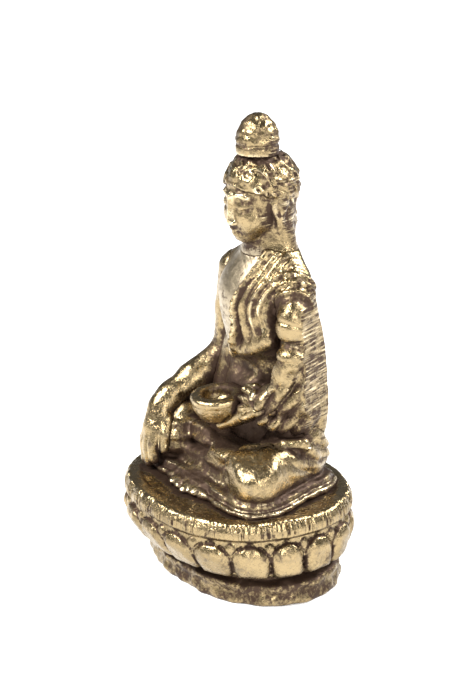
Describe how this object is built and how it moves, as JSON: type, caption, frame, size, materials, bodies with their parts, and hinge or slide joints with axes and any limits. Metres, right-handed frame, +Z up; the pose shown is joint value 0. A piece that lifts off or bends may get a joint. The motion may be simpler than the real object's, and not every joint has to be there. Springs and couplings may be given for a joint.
{
  "type": "seated buddha statuette",
  "caption": "Cast brass seated figure in the lotus posture, one hand reaching down over the knee, an alms bowl in the lap, on an oval lotus pedestal.",
  "frame": {"origin": "on the ground, at the middle of the pedestal's outline seen from above", "axes": "+Z up, the figure faces -Y, its left side is +X"},
  "size_m": [0.0326, 0.0278, 0.06],
  "materials": {
    "aged_brass": "cast and filed, with a dark brown patina in the recesses and worn bright edges",
    "sheet_brass": "rolled sheet, dull and scratched",
    "fixing_brass": "plain drawn rod and cut sheet"
  },
  "bodies": {
    "root": {"lotus_pedestal": "aged_brass", "base_plate": "sheet_brass", "crossed_legs": "aged_brass", "tang_wedges": "fixing_brass", "waist_pin": "fixing_brass", "torso": "aged_brass", "shoulder_dowels": "fixing_brass", "right_arm": "aged_brass", "left_arm": "aged_brass", "left_hand": "aged_brass", "alms_bowl": "aged_brass", "head": "aged_brass", "topknot": "aged_brass"}
  },
  "joints": []
}
